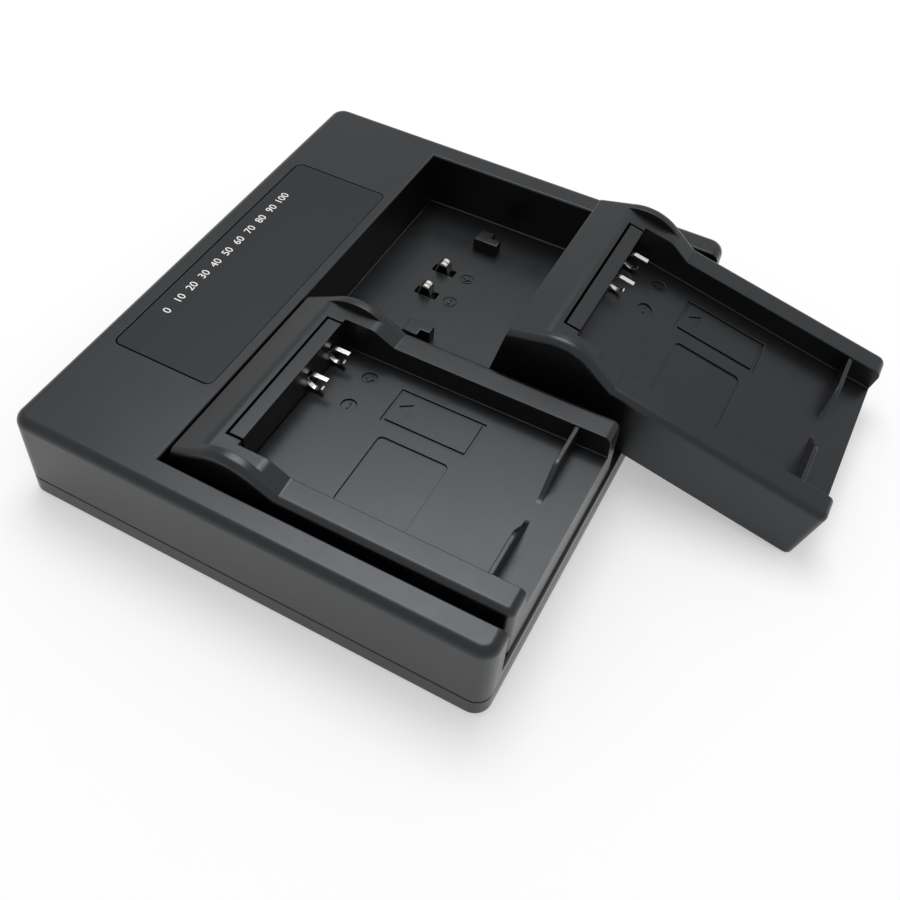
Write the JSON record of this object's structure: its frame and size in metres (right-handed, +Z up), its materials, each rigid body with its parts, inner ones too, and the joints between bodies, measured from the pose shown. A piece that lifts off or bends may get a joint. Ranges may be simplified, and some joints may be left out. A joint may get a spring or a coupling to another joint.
{
  "type": "camera battery charger",
  "caption": "Low black camera battery charger with a flush display panel and a recessed bay. Battery plates hook in and slide to release, shown seated and lying loose.",
  "frame": {"origin": "middle of the charger base's underside, on the table", "axes": "+X to the user's right, +Y away from the user towards the display panel, +Z up"},
  "size_m": [0.1132, 0.1337, 0.0297],
  "materials": {
    "shell_black": "fine moulded texture",
    "plate_black": "fine moulded texture",
    "panel_black": "smooth satin",
    "screen_grey": "smooth",
    "part_black": "moulded",
    "board_green": "solder mask",
    "can_aluminium": "drawn",
    "screw_steel": "plated",
    "contact_nickel": "bright nickel plate"
  },
  "bodies": {
    "base": {"top_shell": "shell_black", "bottom_shell": "shell_black", "display_window": "panel_black", "display_screen": "screen_grey", "display_connector": "part_black", "circuit_board": "board_green", "usb_socket": "contact_nickel", "charge_controller": "part_black", "power_inductor": "part_black", "filter_capacitors": "can_aluminium", "case_screws": "screw_steel", "left_bay_minus": "contact_nickel", "left_bay_plus": "contact_nickel", "right_bay_minus": "contact_nickel", "right_bay_plus": "contact_nickel", "loose_plate_body": "plate_black", "loose_plate_cover": "plate_black", "loose_contact_holder": "plate_black", "loose_contact_minus": "contact_nickel", "loose_contact_plus": "contact_nickel"},
    "left_plate": {"left_plate_body": "plate_black", "left_plate_cover": "plate_black", "left_contact_holder": "plate_black", "left_contact_minus": "contact_nickel", "left_contact_plus": "contact_nickel"}
  },
  "joints": [
    {"name": "left_plate_slide", "type": "slide", "parent": "base", "child": "left_plate", "axis": [0, -1, 0], "range_m": [0, 0.004]}
  ]
}
